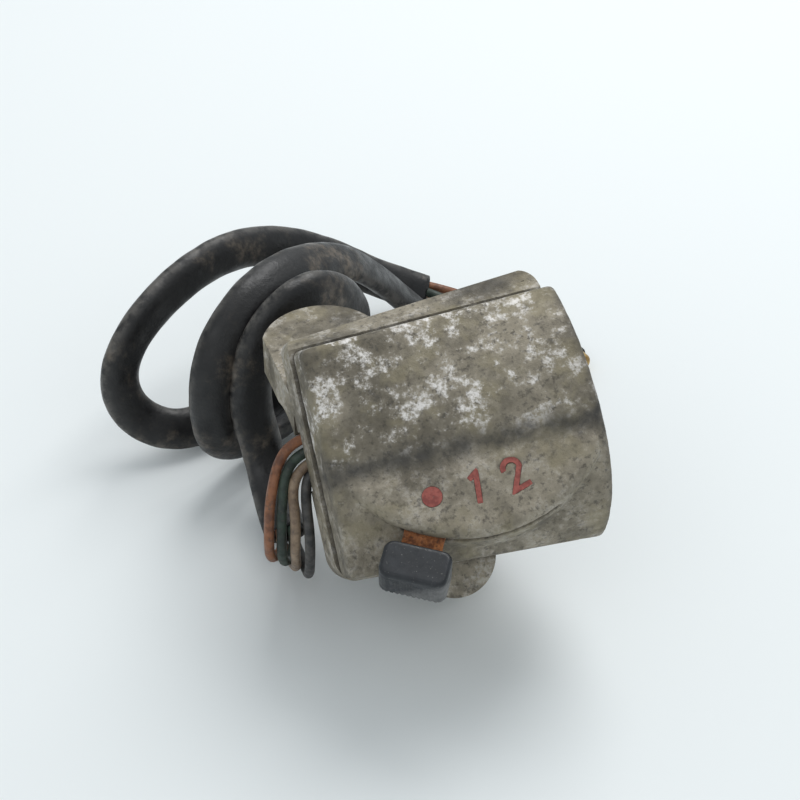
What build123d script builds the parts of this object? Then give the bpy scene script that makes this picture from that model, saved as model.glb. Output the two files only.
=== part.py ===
from build123d import *
import os
from math import cos, pi, radians, sin, tan

os.makedirs("parts", exist_ok=True)

# ---- Driving dimensions, in millimetres and degrees ----------------------------------
# The housing is drawn lying on its back: x runs along the handlebar, y up the face and
# z straight out of the face. It is then tipped back and set down on its lower lug.
TIP_BACK = 50.0            # how far the face is tipped back from level
WIDTH = 46.4               # housing, along the handlebar
WALL = 2.2                 # casting wall
LOW_LEFT = -21.2           # lower wall of the cover at its left and right ends
LOW_RIGHT = -24.2
HIGH_LEFT = 19.0           # upper wall
HIGH_RIGHT = 20.8
CREST_Y_LEFT = -3.0        # highest line of the domed face
CREST_Z_LEFT = 1.0
CREST_Y_RIGHT = -5.0
CREST_Z_RIGHT = 13.5
SEAM_Z = -7.0              # joint face between cover and rear body
SEAM_GAP = 0.35            # weathered groove along the seam
BODY_FLOOR_Z = -15.0       # back of the box part of the rear body
BODY_FLOOR = 2.3

BAR_R = 11.1               # 22.2 mm handlebar
BAR_Z = -27.4
SADDLE_R = 14.6
SPLIT_GAP = 1.2            # between rear body and rear clamp

LEVER_SLOPE_X = 0.27       # the mark panel climbs to the right and toward the lower edge
LEVER_SLOPE_Y = 0.32
PANEL_R = 26.6             # half moon mark panel, around the lever's pivot
PANEL_TOP = 3.6            # panel face above the lever's middle plane
PANEL_SKIN = 1.7
PIVOT_X = 1.7
PIVOT_Y = 7.6
VALLEY_Y = -1.0            # where the panel meets the dome, half way along
VALLEY_Z = 7.0
VALLEY_R = 5.0
REST_ANGLE = -25.5         # lever at the dot, off the panel's centre line
STEP = 22.0                # from one mark to the next
LEVER_T = 1.4
LEVER_W = 7.0
KNOB_R = 32.9              # pivot to the middle of the thumb knob
KNOB_W = 11.8
KNOB_D = 6.8
KNOB_BEND = 15.0           # the finger is cranked outward under the knob
BEND_R = 27.6
KNOB_TOP = 3.2
KNOB_BOTTOM = -3.5
PIN_R = 2.0
RUN_GAP = 0.05             # running fit, radial
BASE_TOP = -2.2            # insulating switch base, below the lever's middle plane
BASE_T = 3.0

COVER_SCREWS = [(18.9, 16.6), (-18.6, -14.6), (18.9, -17.6)]
SCREW_HOLE = 5.4           # depth of the blind cover screw holes, short of the domed face
TOP_EAR = (10.0, 16.4)
TOP_EAR_R = 5.0
LOW_LUG = (-1.2, -22.6)
LOW_LUG_R = 7.6
LUG_WEB = 10.0             # width of the web between the lower lug and the saddle
LUG_END_Z = -32.5          # back faces of the screw ears
PERCH = (-13.6, 19.6, -22.8)
PERCH_R = 11.3
PERCH_T = 8.0
PERCH_HOLE_R = 3.1

CLAMP_X = (-8.5, 16.0)      # rear clamp, along the bar
WIRE_NOTCH = (-25.0, -10.0, -5.7, 5.0, -15.1, -12.4)

EARTH = (-12.5, -9.5)       # earth screw in the rear body's floor
EARTH_TURN = 143.0

ORIGIN_X = 0.15            # middle of the standing housing's footprint
ORIGIN_Y = 8.02

HALF = WIDTH / 2


# ---- Frames ---------------------------------------------------------------------------
TILT = Rot(TIP_BACK, 0, 0)


def lean(y, z):
    """Height of a point of the housing after it is tipped back."""
    return y * sin(radians(TIP_BACK)) + z * cos(radians(TIP_BACK))


STAND = -lean(LOW_LUG[1] - LOW_LUG_R, LUG_END_Z)
PLACE = Pos(0, 0, STAND) * TILT

PANEL_NORMAL = Vector(-LEVER_SLOPE_X, LEVER_SLOPE_Y, 1).normalized()
PANEL_RIGHT = Vector(1, 0, LEVER_SLOPE_X).normalized()
PANEL_Z = VALLEY_Z + LEVER_SLOPE_X * PIVOT_X - LEVER_SLOPE_Y * (PIVOT_Y - VALLEY_Y)
PIVOT = Vector(PIVOT_X, PIVOT_Y, PANEL_Z) - PANEL_NORMAL * PANEL_TOP
SWITCH = Plane(origin=PIVOT, x_dir=PANEL_RIGHT, z_dir=PANEL_NORMAL).location


def write(name, shape, placed=True):
    """Save one piece, the standing frame centred on the housing's footprint."""
    shape = PLACE * shape if placed else shape
    shape = Pos(-ORIGIN_X, -ORIGIN_Y, 0) * shape
    solids = ShapeList(shape.solids())
    out = solids[0] if len(solids) == 1 else Compound(children=list(solids))
    out.label = name
    export_step(out, f"parts/{name}.step")
    return out


def rod(radius, z0, z1, x=0.0, y=0.0):
    """A round bar standing between two heights."""
    return Pos(x, y, (z0 + z1) / 2) * Cylinder(radius, abs(z1 - z0))


def polar(radius, angle):
    """A point of the lever plane, its angle counted from straight down the face."""
    return radius * sin(radians(angle)), -radius * cos(radians(angle))


# ---- Cover ----------------------------------------------------------------------------
def end_face(x, low, high, foot_low, foot_high, crest_y, crest_z, back):
    """Cross section of the cover at one end: two walls joined by a two-arc dome."""
    plane = Plane(origin=(x, 0, 0), x_dir=(0, 1, 0), z_dir=(1, 0, 0))
    crest = (crest_y, crest_z)
    walls = Polyline((high, foot_high), (high, back), (low, back), (low, foot_low))
    lower = TangentArc(crest, (low, foot_low), tangent=(-1, 0))
    upper = TangentArc(crest, (high, foot_high), tangent=(1, 0))
    return plane * make_face(walls + lower + upper)


def cover_block(inset, back):
    """Outer shape of the cover, or its hollow when inset by the wall."""
    left = end_face(-HALF + inset, LOW_LEFT + inset, HIGH_LEFT - inset,
                    -inset, -inset, CREST_Y_LEFT, CREST_Z_LEFT - inset, back)
    right = end_face(HALF - inset, LOW_RIGHT + inset, HIGH_RIGHT - inset,
                     1.0 - inset, 2.6 - inset, CREST_Y_RIGHT, CREST_Z_RIGHT - inset, back)
    return loft([left, right], ruled=True)


def outline_block(inset, z0, z1):
    """The cover's tapered outline as a straight sided block."""
    faces = []
    for x, low, high in ((-HALF + inset, LOW_LEFT, HIGH_LEFT), (HALF - inset, LOW_RIGHT, HIGH_RIGHT)):
        plane = Plane(origin=(x, 0, 0), x_dir=(0, 1, 0), z_dir=(1, 0, 0))
        corners = [(low + inset, z0), (high - inset, z0), (high - inset, z1), (low + inset, z1)]
        faces.append(plane * make_face(Polyline(*corners, close=True)))
    return loft(faces, ruled=True)


BASE_SCREWS = [(-10.6, 6.2), (10.6, 6.2)]


def figure_one():
    """The figure 1 as one engraved stroke with its flag."""
    return trace(Polyline((-1.0, 1.6), (0.3, 2.7), (0.3, -2.7)), 0.9)


def figure_two():
    """The figure 2 as one engraved stroke: a hook, a slope and a foot."""
    hook = ThreePointArc((-1.5, 1.3), (0.1, 2.7), (1.3, 1.0))
    slope = Line((1.3, 1.0), (-1.5, -2.5))
    foot = Line((-1.5, -2.5), (1.6, -2.5))
    return trace(hook + slope + foot, 0.9)


def mark_shapes(depth):
    """The dot, 1 and 2 sunk in the panel, each on the line of its lever position."""
    marks = {}
    u, v = polar(20.2, REST_ANGLE)
    marks["paint_dot"] = rod(1.75, PANEL_TOP - depth, PANEL_TOP + 0.5, u, v)
    for count, figure, name in ((1, figure_one(), "paint_one"), (2, figure_two(), "paint_two")):
        angle = REST_ANGLE + STEP * count
        u, v = polar(18.4, angle)
        marks[name] = extrude(Pos(u, v, PANEL_TOP - depth) * Rot(0, 0, angle) * figure, depth + 0.5)
    return {name: SWITCH * shape for name, shape in marks.items()}


def panel_drum(radius, top, inset, lip=0.0):
    """Half moon drum that carries the marks, kept inside the cover's outline."""
    drum = rod(radius, -24, top)
    if lip:
        drum = fillet(drum.edges().sort_by(Axis.Z)[-1], lip)
    drum = SWITCH * drum
    keep = slab(-HALF, HALF - 2.4, -60, 4, -60, 60)
    return drum & outline_block(inset, SEAM_Z, 30) & keep


def sector(radius, angle0, angle1, w0, w1):
    """A slice of a disc in the lever's frame, angles counted from straight down."""
    first, middle, last = (polar(radius, a) for a in (angle0, (angle0 + angle1) / 2, angle1))
    edge = Line((0, 0), first) + ThreePointArc(first, middle, last) + Line(last, (0, 0))
    return Pos(0, 0, w0) * extrude(make_face(edge), w1 - w0)


def lever_slot():
    """Thin arc slot under the panel's lip, as long as the lever's sweep."""
    swept = sector(PANEL_R + 8, REST_ANGLE - 9.0, REST_ANGLE + 2 * STEP + 8.5, -1.15, 1.15)
    return SWITCH * (swept - rod(PANEL_R - 6, -2, 2))


def valley():
    """Shallow trough along the line where the panel meets the dome, fading to the right."""
    left = Vector(-HALF - 1, VALLEY_Y - 2.0, CREST_Z_LEFT + VALLEY_R - 0.2)
    right = Vector(HALF, VALLEY_Y - 1.5, CREST_Z_RIGHT + VALLEY_R + 0.1)
    along = right - left
    plane = Plane(origin=left, z_dir=along)
    return extrude(plane * Circle(VALLEY_R), along.length)


def dome_crest(edge):
    """True for the line where the dome's two arcs meet, which stays smooth."""
    return abs(edge.center().X) < 1 and abs(edge.center().Y) < 10


def front_cover():
    """Domed die casting with the mark panel, lever slot and screw bosses."""
    outer = cover_block(0, SEAM_Z)
    rim = [e for e in outer.edges() if e.center().Z > SEAM_Z + 0.1 and not dome_crest(e)]
    outer = fillet(rim, 1.3) + panel_drum(PANEL_R, PANEL_TOP, 0.01, 2.0)
    outer -= valley()
    hollow = cover_block(WALL, SEAM_Z - 1)
    hollow += panel_drum(PANEL_R - WALL, PANEL_TOP - PANEL_SKIN, WALL)
    shell = outer - hollow
    for x, y in COVER_SCREWS:
        shell += rod(3.3, SEAM_Z, 12, x, y) & outer
    for u, v in BASE_SCREWS:
        shell += SWITCH * rod(2.6, BASE_TOP, 14, u, v) & outer
    shell -= lever_slot()
    for x, y in COVER_SCREWS:
        shell -= rod(1.7, SEAM_Z - 0.1, SEAM_Z + SCREW_HOLE, x, y)
    for u, v in BASE_SCREWS:
        shell -= SWITCH * rod(1.05, BASE_TOP - 0.1, BASE_TOP + 5, u, v)
    for shape in mark_shapes(0.45).values():
        shell -= shape
    return shell


def paint_marks():
    """Red paint filling the sunk marks, a hair below the panel face."""
    below = SWITCH * rod(PANEL_R, -10, PANEL_TOP - 0.08)
    return {name: shape & below for name, shape in mark_shapes(0.45).items()}


# ---- Rear body ------------------------------------------------------------------------
def lug_web(z0, z1):
    """Web that ties the lower screw lug to the saddle's side of the bar."""
    return slab(LOW_LUG[0] - LUG_WEB / 2, LOW_LUG[0] + LUG_WEB / 2, -18, -12, z0, z1)


def body_section(x, low, high, step, inset, floor):
    """Cross section of the rear body: the top wall stands a step above the cover."""
    plane = Plane(origin=(x, 0, 0), x_dir=(0, 1, 0), z_dir=(1, 0, 0))
    front = SEAM_Z - SEAM_GAP if inset == 0 else SEAM_Z + 1
    corners = [(low - 0.2 + inset, front), (low - 1.2 + inset, floor + 4), (low - 0.9 + inset, floor),
               (high + step - 0.6 - inset, floor), (high + step - inset, floor + 3.5),
               (high + 0.4 - inset, front)]
    return plane * make_face(Polyline(*corners, close=True))


def body_block(inset, floor):
    left = body_section(-HALF - 0.5 + inset, LOW_LEFT, HIGH_LEFT, 1.9, inset, floor)
    right = body_section(HALF + 0.8 - inset, LOW_RIGHT, HIGH_RIGHT, 4.2, inset, floor)
    return loft([left, right], ruled=True)


def body_outline():
    """Face-on outline of the rear body with its rounded corners."""
    left, right = -HALF - 0.5, HALF + 0.8
    corners = [(left, LOW_LEFT - 1.3), (right, LOW_RIGHT - 1.3), (right, HIGH_RIGHT + 4.3), (left, HIGH_LEFT + 2.0)]
    face = make_face(Polyline(*corners, close=True))
    low_left = face.vertices().sort_by(lambda v: v.X + v.Y)[0]
    others = [v for v in face.vertices() if v.distance_to(low_left) > 1]
    face = fillet(low_left, 5.0)
    others = [v for v in face.vertices() if min(v.distance_to(o) for o in others) < 0.01]
    face = fillet(others, 2.6)
    return Pos(0, 0, -20) * extrude(face, 20)


def bar(radius, x0, x1):
    """A cylinder on the handlebar's axis."""
    return Pos((x0 + x1) / 2, 0, BAR_Z) * Rot(0, 90, 0) * Cylinder(radius, x1 - x0)


def slab(x0, x1, y0, y1, z0, z1):
    return Pos((x0 + x1) / 2, (y0 + y1) / 2, (z0 + z1) / 2) * Box(x1 - x0, y1 - y0, z1 - z0)


def perch_frame():
    """Frame of the lever perch: its hole stands upright once the housing is set down."""
    return Pos(*PERCH) * Rot(-TIP_BACK, 0, 0)


def rear_body():
    """Second casting: closes the box, carries the bar saddle, screw ears and perch."""
    block = body_block(0, BODY_FLOOR_Z) & body_outline()
    block = fillet(block.edges().filter_by(lambda e: e.center().Z < BODY_FLOOR_Z + 0.1), 1.2)
    split = BAR_Z + SPLIT_GAP / 2
    saddle = bar(SADDLE_R, -20.5, 20) + slab(-20.5, 20, -SADDLE_R, SADDLE_R, BAR_Z, BODY_FLOOR_Z + 1)
    saddle = saddle & slab(-40, 40, -40, 40, split, BODY_FLOOR_Z + 1)
    body = block + saddle
    body += rod(TOP_EAR_R, split, BODY_FLOOR_Z + 1, *TOP_EAR)
    body += rod(LOW_LUG_R, split, BODY_FLOOR_Z + 4, *LOW_LUG) + lug_web(split, BODY_FLOOR_Z + 1)
    perch = perch_frame() * (rod(PERCH_R, -PERCH_T, 0) + slab(-PERCH_R, PERCH_R, -14, 0, -PERCH_T, 0))
    body += perch & slab(-HALF - 0.5, 40, -40, 40, -60, BODY_FLOOR_Z + 1)
    body -= body_block(WALL, BODY_FLOOR_Z + BODY_FLOOR)
    for x, y in COVER_SCREWS:
        body += rod(3.3, BODY_FLOOR_Z + 1, SEAM_Z - SEAM_GAP, x, y)
        body -= rod(2.2, BODY_FLOOR_Z - 1, SEAM_Z + 1, x, y)
        body -= rod(4.3, BODY_FLOOR_Z - 12, BODY_FLOOR_Z, x, y)
    body -= bar(BAR_R, -40, 40)
    body -= perch_frame() * rod(PERCH_HOLE_R, -30, 1)
    body -= rod(2.55, split - 1, BODY_FLOOR_Z - 1.5, *TOP_EAR)
    body -= rod(3.05, split - 1, BODY_FLOOR_Z + 1, *LOW_LUG)
    body -= slab(*WIRE_NOTCH)
    body -= rod(1.5, BODY_FLOOR_Z + 0.3, BODY_FLOOR_Z + 4, *EARTH)
    return body


# ---- Rear clamp and its screws --------------------------------------------------------
def rear_clamp():
    """Half ring behind the bar, drawn to the body by one screw above and one below."""
    split = BAR_Z - SPLIT_GAP / 2
    ring = bar(SADDLE_R, *CLAMP_X) & slab(-40, 40, -40, 40, -60, split)
    ring += rod(TOP_EAR_R, LUG_END_Z, split, *TOP_EAR)
    ring += rod(LOW_LUG_R, LUG_END_Z, split, *LOW_LUG) + lug_web(LUG_END_Z, split)
    ring -= bar(BAR_R, -40, 40)
    ring -= rod(2.8, -60, split + 1, *TOP_EAR)
    ring -= rod(3.3, -60, split + 1, *LOW_LUG)
    ring -= rod(5.0, -60, LUG_END_Z, *TOP_EAR)
    ring -= rod(5.9, -60, LUG_END_Z, *LOW_LUG)
    ring -= perch_frame() * rod(PERCH_R + 0.6, -PERCH_T - 0.6, 20)
    return ring


def slotted_screw(radius, head_r, head_h, length):
    """Cheese head screw pointing along +z, its head's face at z = 0."""
    screw = rod(head_r, -head_h, 0) + rod(radius, -0.1, length)
    screw = chamfer(screw.edges().sort_by(Axis.Z)[0], 0.4)
    return screw - slab(-head_r - 1, head_r + 1, -0.5, 0.5, -head_h - 1, -head_h + head_h * 0.4)


def clamp_screws():
    top = Pos(*TOP_EAR, LUG_END_Z) * Rot(0, 0, 25) * slotted_screw(2.48, 4.3, 3.0, 14.5)
    low = Pos(*LOW_LUG, LUG_END_Z) * Rot(0, 0, -40) * slotted_screw(2.98, 4.8, 3.2, 15.0)
    return top, low


def cover_screws():
    screws = []
    for turn, (x, y) in enumerate(COVER_SCREWS):
        screws.append(Pos(x, y, BODY_FLOOR_Z) * Rot(0, 0, 35 + 50 * turn) * slotted_screw(1.64, 3.2, 2.2, 13))
    return screws


# ---- Switch inside the cover, drawn in the lever's own frame --------------------------
def cranked(shape):
    """Turn a piece of the lever's outer end up by the crank angle."""
    return Pos(0, -BEND_R, 0) * Rot(-KNOB_BEND, 0, 0) * Pos(0, BEND_R, 0) * shape


def finger_end(length):
    """Outer end of the finger, inside the knob."""
    return cranked(slab(-LEVER_W / 2, LEVER_W / 2, -length, -BEND_R, -LEVER_T / 2, LEVER_T / 2))


def thumb_lever():
    """Steel strip: detent tail, hub and the finger that comes out through the slot."""
    arm = slab(-LEVER_W / 2, LEVER_W / 2, -BEND_R - 0.15, 0, -LEVER_T / 2, LEVER_T / 2)
    arm += finger_end(KNOB_R + 2.2) + rod(6.2, -LEVER_T / 2, LEVER_T / 2)
    arm += slab(-4.6, 4.6, 0, 8.6, -LEVER_T / 2, LEVER_T / 2) & rod(9.8, -2, 2)
    arm -= rod(PIN_R + RUN_GAP, -2, 2)
    for count in range(3):
        x, y = polar(7.6, 180 - STEP * count)
        arm -= rod(0.7, -2, 2, x, y)
    return Rot(0, 0, REST_ANGLE) * arm


def thumb_knob():
    """Moulded cap over the lever's end: smooth pillow top, ribbed outer end."""
    inner = KNOB_R - KNOB_D / 2
    outer = inner + KNOB_D
    body = slab(-KNOB_W / 2, KNOB_W / 2, -outer, -inner, KNOB_BOTTOM, KNOB_TOP)
    body = fillet(body.edges().filter_by(Axis.Z), 1.8)
    body = fillet(body.faces().sort_by(Axis.Z)[-1].edges(), 0.8)
    ribs = 11
    for count in range(ribs):
        x = (count - (ribs - 1) / 2) * 0.95
        body -= rod(0.26, KNOB_BOTTOM - 1, KNOB_TOP - 1.9, x, -outer - 0.08)
    return Rot(0, 0, REST_ANGLE) * (cranked(body) - finger_end(KNOB_R + 2.2))


def pivot_pin():
    return rod(3.2, LEVER_T / 2 + 0.05, LEVER_T / 2 + 0.75) + rod(PIN_R, BASE_TOP - BASE_T - 1.4, LEVER_T / 2 + 0.1)


def retaining_clip():
    """Open ring on the pin's lower end, under the switch base."""
    low = BASE_TOP - BASE_T - 1.1
    ring = rod(3.9, low, low + 0.6) - rod(PIN_R, low - 1, low + 1)
    return ring - slab(-1.2, 1.2, -5, 0, low - 1, low + 1)


def wave_washer():
    return rod(3.6, -1.85, -1.25) - rod(PIN_R + 0.2, -3, 0)


def wiper():
    """Brass bridge under the lever that joins the common strip to one fixed contact."""
    plate = slab(-9.4, 9.4, -1.7, 1.7, -LEVER_T / 2 - 0.5, -LEVER_T / 2)
    plate += rod(4.6, -LEVER_T / 2 - 0.5, -LEVER_T / 2)
    for side in (-1, 1):
        plate += rod(0.9, BASE_TOP + 0.5, -LEVER_T / 2 - 0.3, side * 8.3, 0)
    return Rot(0, 0, REST_ANGLE) * (plate - rod(PIN_R + RUN_GAP, -3, 0))


def switch_base():
    """Laminated insulating plate, hung from two bosses inside the cover."""
    low = BASE_TOP - BASE_T
    plate = rod(11.4, low, BASE_TOP)
    for u, v in BASE_SCREWS:
        plate += rod(3.1, low, BASE_TOP, u, v)
    plate += slab(-10.6, 10.6, 3.3, 9.1, low, BASE_TOP)
    plate -= rod(PIN_R, low - 1, 0)
    for u, v in BASE_SCREWS:
        plate -= rod(1.4, low - 1, 0, u, v)
    for u, v in CONTACTS.values():
        plate -= rod(1.0, low - 1, 0, u, v)
    u, v = DETENT
    return plate - rod(1.15, BASE_TOP - 2.4, 0, u, v)


DETENT = polar(7.6, 180 + REST_ANGLE)
CONTACTS = {
    "contact_common": (-8.3, 0.0),
    "contact_one": (8.3 * cos(radians(REST_ANGLE + STEP)), 8.3 * sin(radians(REST_ANGLE + STEP))),
    "contact_two": (8.3 * cos(radians(REST_ANGLE + 2 * STEP)), 8.3 * sin(radians(REST_ANGLE + 2 * STEP))),
}


def fixed_contacts():
    """Brass rivets through the base; the common one carries an arc strip."""
    low = BASE_TOP - BASE_T
    contacts = {}
    for name, (u, v) in CONTACTS.items():
        head = rod(1.35, BASE_TOP, BASE_TOP + 0.42, u, v)
        if name == "contact_common":
            strip = rod(9.6, BASE_TOP, BASE_TOP + 0.42) - rod(7.0, -5, 5)
            head = strip & (Rot(0, 0, -90) * sector(12, REST_ANGLE - 8, -REST_ANGLE + 4, -5, 5))
        contacts[name] = head + rod(1.0, low - 0.9, BASE_TOP + 0.1, u, v)
    return contacts


def solder_tags():
    """Brass tags riveted under the base, each tail clear of the others."""
    low = BASE_TOP - BASE_T
    tags = {}
    for name, turn, length in (("contact_common", 180, 6.5), ("contact_one", -110, 11.3), ("contact_two", -15, 6.5)):
        u, v = CONTACTS[name]
        tail = slab(0, length, -1.2, 1.2, low - 0.45, low) + rod(1.5, low - 0.45, low)
        tail = Pos(u, v, 0) * Rot(0, 0, turn) * tail
        tags[name.replace("contact", "tag")] = tail - rod(1.0, low - 2, 0, u, v)
    return tags


def detent_ball():
    u, v = DETENT
    return Pos(u, v, -LEVER_T / 2 - 0.06 - 1.0) * Sphere(1.0)


def detent_spring():
    u, v = DETENT
    low = BASE_TOP - 2.35
    coil = Helix(pitch=0.5, height=0.95, radius=0.7)
    start = coil @ 0
    wire = sweep(Plane(origin=start, z_dir=coil % 0) * Circle(0.15), path=coil, is_frenet=True)
    return Pos(u, v, low + 0.18) * wire


def base_screws():
    low = BASE_TOP - BASE_T
    return [Pos(u, v, low) * slotted_screw(1.0, 2.0, 1.2, 5.5) for u, v in BASE_SCREWS]


# ---- Earth point inside the rear body --------------------------------------------------
def earth_eyelet():
    """Ring terminal on the body's floor with its crimped barrel."""
    floor = BODY_FLOOR_Z + BODY_FLOOR
    ring = rod(3.0, floor, floor + 0.5)
    barrel = Pos(4.6, 0, floor + 1.1) * Rot(0, 90, 0) * Cylinder(1.3, 3.8)
    tongue = slab(2.2, 4.5, -0.9, 0.9, floor, floor + 0.5)
    barrel = barrel & slab(0, 9, -3, 3, floor, floor + 4)
    return Pos(*EARTH) * Rot(0, 0, EARTH_TURN) * (ring + tongue + barrel - rod(1.6, floor - 1, floor + 2))


def earth_screw():
    floor = BODY_FLOOR_Z + BODY_FLOOR
    return Pos(*EARTH, floor + 0.5) * Rot(180, 0, 20) * slotted_screw(1.4, 2.4, 1.4, 2.4)


# ---- Harness ----------------------------------------------------------------------------
SLEEVE_D = 8.6
WIRE_D = 1.9
BOOT_R = 2.4
BOOT_L = 12.0
BULLET_R = 1.95
BULLET_L = 7.0
# Routes in the standing frame: each is a list of points that the cord rounds off.
SLEEVE_ROUTE = [
    (-24, 24.5, 4.6), (-23.5, 33, 4.8), (-23, 41.5, 10), (-25, 44.5, 23), (-22, 46, 35.5), (-12, 49.5, 42),
    (-2, 54, 36), (3, 58, 23.5), (-1, 60, 11), (-11, 57, 5.2), (-22, 51.5, 4.8), (-31, 46.5, 10),
    (-32.5, 46, 22), (-30, 47.5, 34), (-20.5, 54, 40.5), (-8.5, 63, 38.5), (4, 72, 30.5), (13, 77.5, 19.5),
    (20, 80, 10), (25, 76.5, 5.2), (21, 70, 4.6), (11, 69, 4.8), (-6, 67.5, 4.5), (-23, 62.5, 4.7),
    (-37, 59.5, 5), (-45, 62.5, 10), (-47, 63, 20), (-42, 66, 28), (-31, 74, 31.5), (-18, 83, 30.5),
    (-5, 89, 25), (7, 90.5, 17.5), (17, 90, 9.5), (27, 87, 5.2),
]
WIRE_ROUTES = {
    "wire_brown": [
        (-10.5, 9, 43), (-14.5, 9.8, 41.8), (-18.5, 12.6, 38.7), (-23.5, 13.1, 38.2), (-27.7, 12.5, 35.7),
        (-30.8, 9, 29), (-31.6, 8, 21.5), (-31.2, 10, 14), (-28.6, 14.8, 9), (-26, 19.7, 6.3),
        (-25.2, 24.5, 5.8),
    ],
    "wire_green": [
        (17.7, 3.8, 48.4), (19.2, 1.5, 46.8), (19, -1, 43.2), (16, -0.8, 39.2), (11, 2, 35.6), (4.5, 4.5, 34.6),
        (-2, 7.5, 35.8), (-10, 9.5, 37.3), (-17, 11.2, 37), (-23.5, 11.5, 36.5), (-27.2, 10.6, 34),
        (-29.1, 7.6, 27.5), (-29.5, 7.3, 20), (-29, 9.3, 12.7), (-26.3, 13.8, 8.5), (-23.8, 19.4, 6.3),
        (-22.8, 24.5, 5.8),
    ],
    "wire_tan": [
        (7.4, -4.2, 40.1), (6.5, -5.6, 38.6), (6.2, -4.8, 35.4), (3.5, -1.7, 32.4), (-1, 1, 31.2),
        (-6, 3.6, 31.9), (-10, 5.6, 33.5), (-13.5, 7.4, 34.9), (-18, 9.8, 35.2), (-23.5, 10.2, 34.8),
        (-26.7, 8.9, 31.8), (-27.1, 5.6, 25.5), (-27.4, 6, 18), (-26.4, 9.2, 11), (-25.4, 14.2, 5.9),
        (-25.2, 19.5, 3.9), (-25.2, 24.5, 3.5),
    ],
    "wire_black": [
        (-17.7, 5.3, 32.3), (-18.9, 7.5, 33.3), (-20.8, 8.7, 33.4), (-23.6, 9, 33.2), (-24.9, 6.7, 29.8),
        (-25.1, 3.9, 23.5), (-25.2, 4.1, 16.5), (-24.6, 7.4, 9.8), (-23.5, 13, 5.2), (-22.8, 19.3, 3.7),
        (-22.8, 24.5, 3.5),
    ],
    "tail_brown": [(28, 88.2, 6.4), (36, 84.5, 4.5), (42, 76, 3), (44, 64, 2.6)],
    "tail_green": [(27.3, 85.8, 6.4), (33.5, 80.5, 5), (37, 71.5, 3), (37.5, 59, 2.6)],
    "tail_tan": [(26.9, 88.2, 4.1), (37, 87.5, 2.8), (46, 80.5, 2.6), (48.5, 69.5, 2.7)],
    "tail_black": [(26.3, 85.8, 4.1), (31.5, 78.5, 2.8), (32.5, 68.5, 2.6), (30.5, 56, 2.7)],
}


def cord_tube(name, route, diameter):
    """A round cord along straight runs, each corner an arc as large as its runs allow."""
    points = [Vector(*point) for point in route]
    radii = []
    for before, here, after in zip(points, points[1:], points[2:]):
        turn = (here - before).get_angle(after - here)
        shorter = min((here - before).length, (after - here).length)
        radii.append(0.45 * shorter / tan(radians(turn / 2)))
    path = FilletPolyline(*points, radius=radii)
    tube = sweep(Plane(origin=path @ 0, z_dir=path % 0) * Circle(diameter / 2), path=path)
    ratio = tube.volume / (pi * diameter**2 / 4 * path.length)
    print(name, "length", round(path.length, 1), "volume ratio", round(ratio, 4), "radii", [round(r, 1) for r in radii])
    return tube


def connector(route):
    """Rubber boot and brass bullet in line with the end of a tail wire."""
    end = Vector(*route[-1])
    along = end - Vector(*route[-2])
    along = Vector(along.X, along.Y, 0).normalized()
    boot = extrude(Plane(origin=end, z_dir=along) * Circle(BOOT_R), BOOT_L)
    bore = extrude(Plane(origin=end + along * (BOOT_L - 4), z_dir=along) * Circle(BULLET_R), 5)
    bullet = extrude(Plane(origin=end + along * (BOOT_L - 4), z_dir=along) * Circle(BULLET_R), BULLET_L)
    bullet = fillet(bullet.edges().sort_by(lambda e: (e.center() - end).length)[-1], 1.0)
    return boot - bore, bullet


# ---- Write the pieces -----------------------------------------------------------------
def main():
    write("front_cover", front_cover())
    for name, shape in paint_marks().items():
        write(name, shape)
    write("rear_body", rear_body())
    write("rear_clamp", rear_clamp())
    top, low = clamp_screws()
    write("clamp_screw_top", top)
    write("clamp_screw_low", low)
    write("cover_screws", Compound(children=cover_screws()))
    pieces = {
        "thumb_lever": thumb_lever(),
        "thumb_knob": thumb_knob(),
        "pivot_pin": pivot_pin(),
        "retaining_clip": retaining_clip(),
        "wave_washer": wave_washer(),
        "wiper": wiper(),
        "switch_base": switch_base(),
        "detent_ball": detent_ball(),
        "detent_spring": detent_spring(),
        "base_screws": Compound(children=base_screws()),
    }
    pieces.update(fixed_contacts())
    pieces.update(solder_tags())
    for name, shape in pieces.items():
        write(name, SWITCH * shape)
    write("earth_eyelet", earth_eyelet())
    write("earth_screw", earth_screw())
    write("sleeve", cord_tube("sleeve", SLEEVE_ROUTE, SLEEVE_D), placed=False)
    boots = []
    bullets = []
    for name, route in WIRE_ROUTES.items():
        write(name, cord_tube(name, route, WIRE_D), placed=False)
        if name.startswith("tail"):
            boot, bullet = connector(route)
            boots.append(boot)
            bullets.append(bullet)
    write("connector_boots", Compound(children=boots), placed=False)
    write("bullet_connectors", Compound(children=bullets), placed=False)


if __name__ == "__main__":
    main()
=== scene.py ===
import math

import bmesh
import bpy
import numpy as np
from mathutils import Matrix, Vector, noise


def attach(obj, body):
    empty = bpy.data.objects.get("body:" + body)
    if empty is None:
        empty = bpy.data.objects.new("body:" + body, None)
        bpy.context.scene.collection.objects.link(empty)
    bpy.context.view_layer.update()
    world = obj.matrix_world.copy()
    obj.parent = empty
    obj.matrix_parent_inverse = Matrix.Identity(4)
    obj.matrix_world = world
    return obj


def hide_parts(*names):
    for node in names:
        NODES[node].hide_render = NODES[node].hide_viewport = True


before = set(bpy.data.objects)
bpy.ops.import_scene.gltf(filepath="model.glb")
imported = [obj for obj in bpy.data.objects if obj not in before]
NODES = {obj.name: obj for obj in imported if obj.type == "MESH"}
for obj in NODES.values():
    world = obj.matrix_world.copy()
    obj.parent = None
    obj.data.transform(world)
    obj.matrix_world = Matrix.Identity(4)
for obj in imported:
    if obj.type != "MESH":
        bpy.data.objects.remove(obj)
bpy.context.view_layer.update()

MM = 0.001

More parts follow.
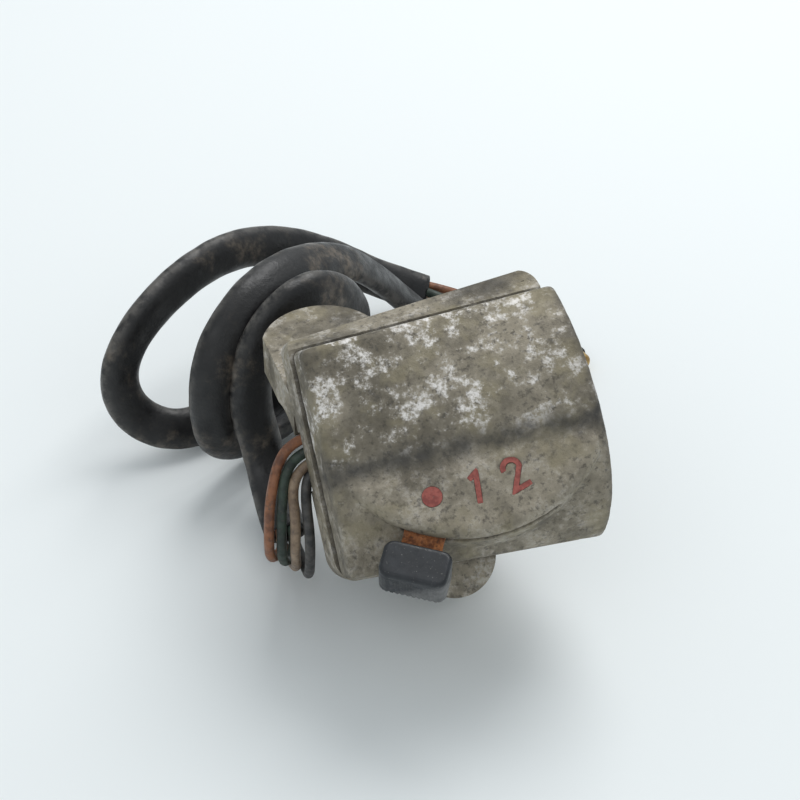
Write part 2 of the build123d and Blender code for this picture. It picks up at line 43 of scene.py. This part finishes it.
# ---- Sizes that the looks share with the model, in millimetres ----------------------------
ORIGIN = (0.15, 8.02, 0.0)      # the standing frame is centred on the housing's footprint
STAND = 44.025                  # height of the lying frame's origin once tipped back
TIP_BACK = math.radians(50)
SLEEVE_WIDTH = 8.6
SLEEVE_THICKNESS = 5.2
SLEEVE_SIDES = 36               # points round the sleeve
MOUTH_RINGS = 11                # rings that the hollow at each end reaches in
MOUTH_SHARE = 0.78              # the hollow's width over the sleeve's
WIRE_DIAMETER = 1.9
VOXEL = 0.36                    # grain of the remeshed castings
KNOB_VOXEL = 0.13               # and of the knob
PIT_DEPTH = 0.12                # deepest corrosion pit on a casting

# ---- Camera -------------------------------------------------------------------------------
CAMERA_PLACE = (-0.0928, -0.2428, 0.2624)
CAMERA_RIGHT = Vector((0.9426, -0.3338, 0.0))
CAMERA_UP = Vector((0.2146, 0.6059, 0.7660))
CAMERA_BACK = Vector((-0.2557, -0.7221, 0.6428))
LENS = 86.85

LAMPS = {                       # place, size and power of each soft lamp
    "window": ((0.35, 0.35, 0.75), 0.6, 4.6),
    "fill": ((-0.5, -0.5, 0.7), 0.8, 1.1),
}


def add_camera():
    """Looks down on the housing from the front left."""
    data = bpy.data.cameras.new("camera")
    data.lens = LENS
    data.sensor_width = 36
    camera = bpy.data.objects.new("camera", data)
    bpy.context.scene.collection.objects.link(camera)
    turn = Matrix((CAMERA_RIGHT, CAMERA_UP, CAMERA_BACK)).transposed().to_4x4()
    camera.matrix_world = Matrix.Translation(CAMERA_PLACE) @ turn
    bpy.context.scene.camera = camera


# ---- Routes of the harness, in millimetres, before the frame is centred -------------------
SLEEVE_ROUTE = [
    (-24, 24.5, 4.6), (-23.5, 33, 4.8), (-23, 41.5, 10), (-25, 44.5, 23), (-22, 46, 35.5), (-12, 49.5, 42),
    (-2, 54, 36), (3, 58, 23.5), (-1, 60, 11), (-11, 57, 5.2), (-22, 51.5, 4.8), (-31, 46.5, 10),
    (-32.5, 46, 22), (-30, 47.5, 34), (-20.5, 54, 40.5), (-8.5, 63, 38.5), (4, 72, 30.5), (13, 77.5, 19.5),
    (20, 80, 10), (25, 76.5, 5.2), (21, 70, 4.6), (11, 69, 4.8), (-6, 67.5, 4.5), (-23, 62.5, 4.7),
    (-37, 59.5, 5), (-45, 62.5, 10), (-47, 63, 20), (-42, 66, 28), (-31, 74, 31.5), (-18, 83, 30.5),
    (-5, 89, 25), (7, 90.5, 17.5), (17, 90, 9.5), (27, 87, 5.2),
]
WIRE_ROUTES = {
    "wire_brown": [
        (-10.5, 9, 43), (-14.5, 9.8, 41.8), (-18.5, 12.6, 38.7), (-23.5, 13.1, 38.2), (-27.7, 12.5, 35.7),
        (-30.8, 9, 29), (-31.6, 8, 21.5), (-31.2, 10, 14), (-28.6, 14.8, 9), (-26, 19.7, 6.3),
        (-25.2, 24.5, 5.8),
    ],
    "wire_green": [
        (17.7, 3.8, 48.4), (19.2, 1.5, 46.8), (19, -1, 43.2), (16, -0.8, 39.2), (11, 2, 35.6), (4.5, 4.5, 34.6),
        (-2, 7.5, 35.8), (-10, 9.5, 37.3), (-17, 11.2, 37), (-23.5, 11.5, 36.5), (-27.2, 10.6, 34),
        (-29.1, 7.6, 27.5), (-29.5, 7.3, 20), (-29, 9.3, 12.7), (-26.3, 13.8, 8.5), (-23.8, 19.4, 6.3),
        (-22.8, 24.5, 5.8),
    ],
    "wire_tan": [
        (7.4, -4.2, 40.1), (6.5, -5.6, 38.6), (6.2, -4.8, 35.4), (3.5, -1.7, 32.4), (-1, 1, 31.2),
        (-6, 3.6, 31.9), (-10, 5.6, 33.5), (-13.5, 7.4, 34.9), (-18, 9.8, 35.2), (-23.5, 10.2, 34.8),
        (-26.7, 8.9, 31.8), (-27.1, 5.6, 25.5), (-27.4, 6, 18), (-26.4, 9.2, 11), (-25.4, 14.2, 5.9),
        (-25.2, 19.5, 3.9), (-25.2, 24.5, 3.5),
    ],
    "wire_black": [
        (-17.7, 5.3, 32.3), (-18.9, 7.5, 33.3), (-20.8, 8.7, 33.4), (-23.6, 9, 33.2), (-24.9, 6.7, 29.8),
        (-25.1, 3.9, 23.5), (-25.2, 4.1, 16.5), (-24.6, 7.4, 9.8), (-23.5, 13, 5.2), (-22.8, 19.3, 3.7),
        (-22.8, 24.5, 3.5),
    ],
    "tail_brown": [(28, 88.2, 6.4), (36, 84.5, 4.5), (42, 76, 3), (44, 64, 2.6)],
    "tail_green": [(27.3, 85.8, 6.4), (33.5, 80.5, 5), (37, 71.5, 3), (37.5, 59, 2.6)],
    "tail_tan": [(26.9, 88.2, 4.1), (37, 87.5, 2.8), (46, 80.5, 2.6), (48.5, 69.5, 2.7)],
    "tail_black": [(26.3, 85.8, 4.1), (31.5, 78.5, 2.8), (32.5, 68.5, 2.6), (30.5, 56, 2.7)],
}


def metres(route):
    return [Vector([(c - o) * MM for c, o in zip(point, ORIGIN)]) for point in route]


def smooth_curve(name, route, radius=0.0):
    """A curve object that follows a route and rounds off its corners."""
    data = bpy.data.curves.new(name, "CURVE")
    data.dimensions = "3D"
    data.resolution_u = 12
    data.bevel_depth = radius
    data.bevel_resolution = 5
    data.use_fill_caps = True
    spline = data.splines.new("NURBS")
    points = metres(route)
    spline.points.add(len(points) - 1)
    for point, place in zip(spline.points, points):
        point.co = (*place, 1)
    spline.order_u = 3
    spline.use_endpoint_u = True
    curve = bpy.data.objects.new(name, data)
    bpy.context.scene.collection.objects.link(curve)
    return curve


def line_of(route):
    """Points read along the smooth line of a route."""
    curve = smooth_curve("guide", route)
    bpy.context.view_layer.update()
    mesh = bpy.data.meshes.new_from_object(curve.evaluated_get(bpy.context.evaluated_depsgraph_get()))
    points = np.array([v.co for v in mesh.vertices])
    bpy.data.objects.remove(curve)
    return points


def new_piece(name, vertices, faces, smooth=True):
    mesh = bpy.data.meshes.new(name)
    mesh.from_pydata([tuple(v) for v in vertices], [], faces)
    mesh.validate()
    for face in mesh.polygons:
        face.use_smooth = smooth
    piece = bpy.data.objects.new(name, mesh)
    bpy.context.scene.collection.objects.link(piece)
    return piece


def evenly(points, step):
    """The same line with points a fixed step apart."""
    along = np.concatenate([[0], np.cumsum(np.linalg.norm(np.diff(points, axis=0), axis=1))])
    count = max(2, int(along[-1] / step))
    marks = np.linspace(0, along[-1], count)
    return np.stack([np.interp(marks, along, points[:, k]) for k in range(3)], axis=1)


def side_vectors(line):
    """Directions across the line that turn as little as they can from ring to ring."""
    ahead = np.gradient(line, axis=0)
    ahead /= np.linalg.norm(ahead, axis=1)[:, None]
    across = np.cross(ahead[0], (0, 0, 1.0))
    sides = []
    for direction in ahead:
        across = across - direction * (across @ direction)
        across /= np.linalg.norm(across)
        sides.append((across.copy(), np.cross(direction, across)))
    return sides


def flattened_ring(centre, across, over, share, wobble):
    """One ring of the pressed-flat sleeve, with a crease along each edge."""
    ring = []
    for k in range(SLEEVE_SIDES):
        angle = 2 * math.pi * k / SLEEVE_SIDES
        wide, high = math.cos(angle), math.sin(angle)
        pinch = 1 - 0.10 * (1 - abs(wide)) - 0.05 * math.exp(-((abs(wide) - 0.86) / 0.07) ** 2)
        place = centre + across * wide * SLEEVE_WIDTH / 2 * MM * share
        place = place + over * high * SLEEVE_THICKNESS / 2 * MM * share * pinch
        swell = 1 - 0.05 * wobble * (0.5 + 0.5 * noise.noise(Vector(place) * 260))
        ring.append(centre + (place - centre) * swell)
    return ring


def sleeve_tube():
    """Flattened vinyl sleeve whose two open mouths show the hollow inside."""
    line = evenly(line_of(SLEEVE_ROUTE), 0.0008)
    sides = side_vectors(line)
    order = [(i, MOUTH_SHARE) for i in range(MOUTH_RINGS, -1, -1)]
    order += [(i, 1.0) for i in range(len(line))]
    order += [(i, MOUTH_SHARE) for i in range(len(line) - 1, len(line) - 1 - MOUTH_RINGS, -1)]
    vertices = []
    for index, share in order:
        across, over = sides[index]
        vertices += flattened_ring(line[index], across, over, share, 1.0 if share == 1.0 else 0.0)
    count = SLEEVE_SIDES
    faces = []
    for ring in range(len(order) - 1):
        for k in range(count):
            a, b = ring * count + k, ring * count + (k + 1) % count
            faces.append((a, b, b + count, a + count))
    faces.append(tuple(range(count - 1, -1, -1)))
    last = (len(order) - 1) * count
    faces.append(tuple(range(last, last + count)))
    piece = new_piece("sleeve_skin", vertices, faces)
    outward(piece)
    return piece, line


def outward(piece):
    """Turn every face of a closed piece outward."""
    mesh = bmesh.new()
    mesh.from_mesh(piece.data)
    bmesh.ops.recalc_face_normals(mesh, faces=mesh.faces)
    mesh.to_mesh(piece.data)
    mesh.free()


# ---- Materials ----------------------------------------------------------------------------
class Recipe:
    """A node material put together one step at a time."""

    def __init__(self, name, roughness=0.6, metallic=0.0):
        self.material = bpy.data.materials.new(name)
        self.material.use_nodes = True
        self.tree = self.material.node_tree
        self.shader = self.tree.nodes["Principled BSDF"]
        self.shader.inputs["Roughness"].default_value = roughness
        self.shader.inputs["Metallic"].default_value = metallic
        self.place = self.tree.nodes.new("ShaderNodeTexCoord").outputs["Object"]

    def join(self, source, target):
        self.tree.links.new(source, target)

    def noise(self, scale, detail=6.0, rough=0.6):
        node = self.tree.nodes.new("ShaderNodeTexNoise")
        node.inputs["Scale"].default_value = scale
        node.inputs["Detail"].default_value = detail
        node.inputs["Roughness"].default_value = rough
        self.join(self.place, node.inputs["Vector"])
        return node.outputs["Fac"]

    def attribute(self, name):
        node = self.tree.nodes.new("ShaderNodeAttribute")
        node.attribute_name = name
        return node.outputs["Fac"]

    def ramp(self, source, low, high, start=0.0, end=1.0):
        node = self.tree.nodes.new("ShaderNodeMapRange")
        node.interpolation_type = "SMOOTHSTEP"
        for key, value in (("From Min", low), ("From Max", high), ("To Min", start), ("To Max", end)):
            node.inputs[key].default_value = value
        self.join(source, node.inputs["Value"])
        return node.outputs["Result"]

    def math(self, operation, first, second):
        node = self.tree.nodes.new("ShaderNodeMath")
        node.operation = operation
        node.use_clamp = operation != "ADD"
        for socket, value in zip(node.inputs, (first, second)):
            if isinstance(value, (int, float)):
                socket.default_value = value
            else:
                self.join(value, socket)
        return node.outputs[0]

    def mix(self, share, first, second):
        node = self.tree.nodes.new("ShaderNodeMix")
        node.data_type = "RGBA"
        self.join(share, node.inputs[0])
        for socket, value in ((node.inputs[6], first), (node.inputs[7], second)):
            if isinstance(value, tuple):
                socket.default_value = (*value, 1)
            else:
                self.join(value, socket)
        return node.outputs[2]

    def occlusion_shade(self, reach):
        """Ambient occlusion, 1 in the open, falling to 0 in corners; it paints shade into colours."""
        node = self.tree.nodes.new("ShaderNodeAmbientOcclusion")
        node.samples = 8
        node.inputs["Distance"].default_value = reach
        return node.outputs["AO"]

    def bump(self, height, strength, distance):
        node = self.tree.nodes.new("ShaderNodeBump")
        node.inputs["Strength"].default_value = strength
        node.inputs["Distance"].default_value = distance
        self.join(height, node.inputs["Height"])
        self.join(node.outputs["Normal"], self.shader.inputs["Normal"])

    def colour(self, source):
        self.join(source, self.shader.inputs["Base Color"])

    def roughness(self, source):
        self.join(source, self.shader.inputs["Roughness"])


def weathered_casting(name, bloom_and_top_light=True):
    """Grey-beige die casting: dark speckle, white corrosion bloom that is painted lighter on the cover's upper
    face, patchy grime, painted shade in its corners and along the cover's valley, and darkening along the
    cover's right rim.
    """
    m = Recipe(name, 0.62, 0.25)
    tone = m.mix(m.ramp(m.noise(95, 8, 0.65), 0.36, 0.64), (0.135, 0.118, 0.088), (0.33, 0.292, 0.225))
    speck = m.ramp(m.noise(900, 5, 0.7), 0.50, 0.66, 0.0, 0.75)
    tone = m.mix(speck, tone, (0.07, 0.062, 0.05))
    olive = m.ramp(m.noise(140, 6, 0.6), 0.48, 0.66, 0.0, 0.6)
    tone = m.mix(olive, tone, (0.27, 0.235, 0.15))
    patch = m.ramp(m.noise(190, 9, 0.74), 0.50, 0.60)
    grain = m.ramp(m.noise(1100, 4, 0.7), 0.36, 0.58)
    white = m.math("MULTIPLY", patch, grain)
    if bloom_and_top_light:
        # on the cover the bloom mask is corrosion with painted light added on the upper face
        white = m.math("MULTIPLY", white, m.attribute("bloom_and_top_light"))
        # painted shade along the cover's valley crease, with darkening along its right rim, made patchy
        grime_and_shade = m.math("MULTIPLY", m.attribute("grime_and_shade"), m.ramp(m.noise(260, 6), 0.3, 0.6, 0.45, 1.0))
    else:
        white = m.math("MULTIPLY", white, 0.35)
        grime_and_shade = m.math("MULTIPLY", m.ramp(m.noise(120, 6), 0.5, 0.7), 0.5)
    tone = m.mix(white, tone, (0.78, 0.75, 0.72))
    tone = m.mix(grime_and_shade, tone, (0.05, 0.047, 0.043))
    # painted shade: ambient occlusion darkens corners and recesses nearly to black
    corner_shade = m.ramp(m.occlusion_shade(0.0025), 0.35, 0.85, 0.8, 0.0)
    tone = m.mix(corner_shade, tone, (0.035, 0.03, 0.025))
    m.colour(tone)
    m.roughness(m.ramp(m.noise(500, 5), 0.3, 0.7, 0.5, 0.82))
    m.bump(m.math("ADD", m.noise(700, 8, 0.7), m.noise(2200, 4, 0.6)), 0.55, 0.00022)
    return m.material


def rusty_steel():
    m = Recipe("rusty_steel", 0.75, 0.2)
    tone = m.mix(m.ramp(m.noise(600, 8, 0.7), 0.35, 0.65), (0.16, 0.055, 0.022), (0.52, 0.2, 0.07))
    tone = m.mix(m.ramp(m.noise(1500, 5), 0.55, 0.68, 0.0, 0.7), tone, (0.06, 0.035, 0.025))
    m.colour(tone)
    m.roughness(m.ramp(m.noise(900, 4), 0.3, 0.7, 0.6, 0.9))
    m.bump(m.noise(1800, 8, 0.7), 0.5, 0.00012)
    return m.material


def knob_plastic():
    """Blue-black satin moulding, dusty and paler on its ribbed end."""
    m = Recipe("knob_plastic", 0.42)
    tone = m.mix(m.ramp(m.noise(320, 7), 0.4, 0.7), (0.008, 0.01, 0.013), (0.018, 0.021, 0.026))
    dust = m.math("MULTIPLY", m.attribute("outer_end"), m.ramp(m.noise(700, 6), 0.25, 0.6, 0.45, 1.0))
    tone = m.mix(dust, tone, (0.12, 0.12, 0.12))
    tone = m.mix(m.ramp(m.noise(2600, 3), 0.64, 0.72, 0.0, 0.5), tone, (0.26, 0.25, 0.23))
    m.colour(tone)
    m.roughness(m.ramp(m.noise(800, 5), 0.3, 0.7, 0.34, 0.56))
    m.bump(m.noise(2600, 5), 0.25, 0.00006)
    return m.material


def faded_paint():
    m = Recipe("faded_paint", 0.7)
    tone = m.mix(m.ramp(m.noise(900, 6), 0.35, 0.65), (0.2, 0.045, 0.036), (0.34, 0.09, 0.07))
    m.colour(m.mix(m.ramp(m.noise(2400, 5), 0.6, 0.7, 0.0, 0.7), tone, (0.16, 0.12, 0.1)))
    m.bump(m.noise(2500, 5), 0.4, 0.00006)
    return m.material


def dusty_vinyl():
    """Black sleeve with tan dust in patches and paler scuffs along its creases."""
    m = Recipe("dusty_vinyl", 0.4)
    tone = m.mix(m.ramp(m.noise(140, 7), 0.35, 0.7), (0.004, 0.004, 0.0045), (0.012, 0.0115, 0.0115))
    dust = m.math("MULTIPLY", m.ramp(m.noise(75, 8, 0.65), 0.52, 0.70), m.ramp(m.noise(700, 6), 0.3, 0.65))
    tone = m.mix(m.math("MULTIPLY", dust, 0.55), tone, (0.24, 0.19, 0.14))
    scuff = m.math("MULTIPLY", m.attribute("crease"), m.ramp(m.noise(420, 7), 0.36, 0.62))
    tone = m.mix(m.math("MULTIPLY", scuff, 0.45), tone, (0.2, 0.185, 0.165))
    m.colour(tone)
    m.roughness(m.ramp(m.noise(220, 6), 0.3, 0.7, 0.3, 0.62))
    m.bump(m.math("ADD", m.noise(260, 6), m.noise(1500, 4)), 0.35, 0.00025)
    return m.material


def insulation(name, dark, light):
    m = Recipe(name, 0.5)
    tone = m.mix(m.ramp(m.noise(420, 6), 0.35, 0.65), dark, light)
    m.colour(m.mix(m.ramp(m.noise(1300, 5), 0.56, 0.7, 0.0, 0.65), tone, (0.07, 0.055, 0.045)))
    m.roughness(m.ramp(m.noise(600, 4), 0.3, 0.7, 0.4, 0.7))
    m.bump(m.noise(1500, 4), 0.25, 0.00006)
    return m.material


def worn_metal(name, dark, light, metallic):
    m = Recipe(name, 0.45, metallic)
    tone = m.mix(m.ramp(m.noise(500, 7), 0.35, 0.65), dark, light)
    m.colour(m.mix(m.ramp(m.noise(1500, 5), 0.58, 0.7, 0.0, 0.7), tone, (0.08, 0.06, 0.045)))
    m.roughness(m.ramp(m.noise(800, 5), 0.3, 0.7, 0.32, 0.65))
    m.bump(m.noise(1900, 5), 0.3, 0.00008)
    return m.material


# ---- Castings -----------------------------------------------------------------------------
def lying(points):
    """Points of the standing frame, in metres, turned back to the lying frame in millimetres."""
    p = np.asarray(points) / MM + np.array(ORIGIN)
    p[:, 2] -= STAND
    c, s = math.cos(TIP_BACK), math.sin(TIP_BACK)
    return np.stack([p[:, 0], p[:, 1] * c + p[:, 2] * s, -p[:, 1] * s + p[:, 2] * c], axis=1)


def put_attribute(piece, name, values):
    layer = piece.data.attributes.new(name, "FLOAT", "POINT")
    layer.data.foreach_set("value", np.asarray(values, np.float32))


def remeshed(node, name, voxel):
    """A closed, even copy of a casting, its edges softened as die cast metal wears."""
    piece = NODES[node].copy()
    piece.data = NODES[node].data.copy()
    piece.parent = None
    for key in list(piece.keys()):
        del piece[key]
    piece.name = name
    piece.data.name = name
    bpy.context.scene.collection.objects.link(piece)
    weld = piece.modifiers.new("weld", "WELD")
    weld.merge_threshold = 1e-6
    grid = piece.modifiers.new("grid", "REMESH")
    grid.mode = "VOXEL"
    grid.voxel_size = voxel * MM
    soften = piece.modifiers.new("soften", "SMOOTH")
    soften.factor = 0.5
    soften.iterations = 2
    bpy.context.view_layer.update()
    mesh = bpy.data.meshes.new_from_object(piece.evaluated_get(bpy.context.evaluated_depsgraph_get()))
    piece.modifiers.clear()
    piece.data = mesh
    piece.data.name = name
    for face in mesh.polygons:
        face.use_smooth = True
    return piece


def pit(piece, depth):
    """Sink the skin unevenly, as corroded metal is, never outward."""
    mesh = piece.data
    count = len(mesh.vertices)
    places = np.zeros(count * 3)
    normals = np.zeros(count * 3)
    mesh.vertices.foreach_get("co", places)
    mesh.vertices.foreach_get("normal", normals)
    rough = [noise.fractal(Vector(p) * 420, 0.8, 2.1, 4) for p in places.reshape(-1, 3)]
    sink = depth * MM * (0.5 + 0.5 * np.clip(rough, -1, 1))
    places -= normals * np.repeat(sink, 3)
    mesh.vertices.foreach_set("co", places)
    mesh.update()


def cover_wear_and_shade(piece):
    """Where the corrosion bloom, painted lighter on the upper face, lies on the cover, with the painted shade
    along the valley and the darkening along the right rim.
    """
    p = lying([v.co for v in piece.data.vertices])
    x, y, z = p.T
    valley_y = np.interp(x, (-24.2, 23.2), (-3.0, -2.5))
    off_valley = y - valley_y
    # painted light: whiter above the valley, on the upper face that faces up to the lamps; the rest is
    # corrosion bloom
    upper = np.clip(off_valley / 4.0, 0, 1)
    left = 1.0 - 0.45 * np.clip((x + 4) / 26.0, 0, 1)
    put_attribute(piece, "bloom_and_top_light", np.clip(0.16 + upper * left * 1.0, 0, 1))
    # painted shade: dark band along the valley's crease; the rim term darkens the cover's right end
    valley_shade = np.exp(-(off_valley / 2.2) ** 2) * 0.85
    rim = np.exp(-((p[:, 0] - 22.9) / 1.2) ** 2) * 0.55
    put_attribute(piece, "grime_and_shade", np.clip(valley_shade + rim, 0, 1))


def castings():
    cover = remeshed("front_cover", "cover_casting", VOXEL)
    pit(cover, PIT_DEPTH)
    cover_wear_and_shade(cover)
    clamp = remeshed("rear_clamp", "clamp_casting", VOXEL)
    pit(clamp, PIT_DEPTH)
    plain = weathered_casting("plain_casting", bloom_and_top_light=False)
    for piece, node, material in (
        (cover, "front_cover", weathered_casting("cover_metal")),
        (clamp, "rear_clamp", plain),
    ):
        piece.data.materials.clear()
        piece.data.materials.append(material)
        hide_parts(node)
        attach(piece, "housing")
    NODES["rear_body"].data.materials.clear()
    NODES["rear_body"].data.materials.append(plain)


def knob():
    """The thumb knob, softened a little, with its outer end marked for dust."""
    piece = remeshed("thumb_knob", "knob_cap", KNOB_VOXEL)
    p = lying([v.co for v in piece.data.vertices])
    put_attribute(piece, "outer_end", np.clip((p[:, 1].min() + 3.4 - p[:, 1]) / 1.2, 0, 1))
    piece.data.materials.clear()
    piece.data.materials.append(knob_plastic())
    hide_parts("thumb_knob")
    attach(piece, "lever")


# ---- Harness ------------------------------------------------------------------------------
INSULATION = {
    "brown": ((0.12, 0.045, 0.022), (0.27, 0.11, 0.05)),
    "green": ((0.012, 0.02, 0.015), (0.03, 0.05, 0.035)),
    "tan": ((0.15, 0.1, 0.065), (0.29, 0.21, 0.14)),
    "black": ((0.02, 0.02, 0.02), (0.07, 0.065, 0.06)),
}


def harness():
    skin, line = sleeve_tube()
    rings = len(skin.data.vertices) // SLEEVE_SIDES
    edge = [abs(math.cos(2 * math.pi * k / SLEEVE_SIDES)) for k in range(SLEEVE_SIDES)]
    put_attribute(skin, "crease", [max(0.0, (e - 0.72) / 0.28) for _ in range(rings) for e in edge])
    skin.data.materials.append(dusty_vinyl())
    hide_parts("sleeve")
    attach(skin, "housing")
    skins = {key: insulation("insulation_" + key, *tones) for key, tones in INSULATION.items()}
    for name, route in WIRE_ROUTES.items():
        colour = name.split("_")[1]
        wire = smooth_curve(name + "_lead", route, WIRE_DIAMETER / 2 * MM)
        wire.data.materials.append(skins[colour])
        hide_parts(name)
        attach(wire, "housing")


# ---- Carried-over pieces ------------------------------------------------------------------
def finish_nodes():
    steel = worn_metal("screw_steel", (0.16, 0.14, 0.12), (0.4, 0.37, 0.33), 0.8)
    bright = worn_metal("pin_steel", (0.3, 0.29, 0.27), (0.55, 0.53, 0.5), 0.9)
    brass = worn_metal("tarnished_brass", (0.3, 0.19, 0.07), (0.62, 0.44, 0.19), 0.85)
    laminate = insulation("brown_laminate", (0.12, 0.06, 0.03), (0.24, 0.13, 0.07))
    boot = insulation("boot_rubber", (0.015, 0.015, 0.015), (0.045, 0.043, 0.04))
    finishes = {
        faded_paint(): ("paint_dot", "paint_one", "paint_two"),
        rusty_steel(): ("thumb_lever",),
        steel: ("clamp_screw_top", "clamp_screw_low", "cover_screws", "base_screws", "earth_screw"),
        bright: ("pivot_pin", "retaining_clip", "wave_washer", "detent_ball", "detent_spring"),
        brass: ("wiper", "contact_common", "contact_one", "contact_two", "tag_common", "tag_one", "tag_two",
                "earth_eyelet", "bullet_connectors"),
        laminate: ("switch_base",),
        boot: ("connector_boots",),
    }
    for material, names in finishes.items():
        for name in names:
            node = NODES[name]
            node.data.materials.clear()
            node.data.materials.append(material)


# ---- Floor and light ----------------------------------------------------------------------
def studio():
    floor = new_piece("floor", [(-6, -6, 0), (6, -6, 0), (6, 6, 0), (-6, 6, 0)], [(0, 1, 2, 3)], False)
    paper = Recipe("pale_floor", 0.9)
    paper.shader.inputs["Base Color"].default_value = (0.83, 0.86, 0.86, 1)
    floor.data.materials.append(paper.material)
    world = bpy.data.worlds.new("studio")
    world.use_nodes = True
    world.node_tree.nodes["Background"].inputs["Color"].default_value = (0.9, 0.96, 1.0, 1)
    world.node_tree.nodes["Background"].inputs["Strength"].default_value = 0.6
    bpy.context.scene.world = world
    bpy.context.scene.view_settings.view_transform = "Standard"
    for name, (place, size, power) in LAMPS.items():
        data = bpy.data.lights.new(name, "AREA")
        data.size = size
        data.energy = power
        lamp = bpy.data.objects.new(name, data)
        bpy.context.scene.collection.objects.link(lamp)
        lamp.location = place
        lamp.rotation_mode = "QUATERNION"
        lamp.rotation_quaternion = (Vector((0, 0.01, 0.03)) - Vector(place)).to_track_quat("-Z", "Y")


add_camera()
harness()
castings()
knob()
finish_nodes()
studio()

bpy.context.view_layer.update()
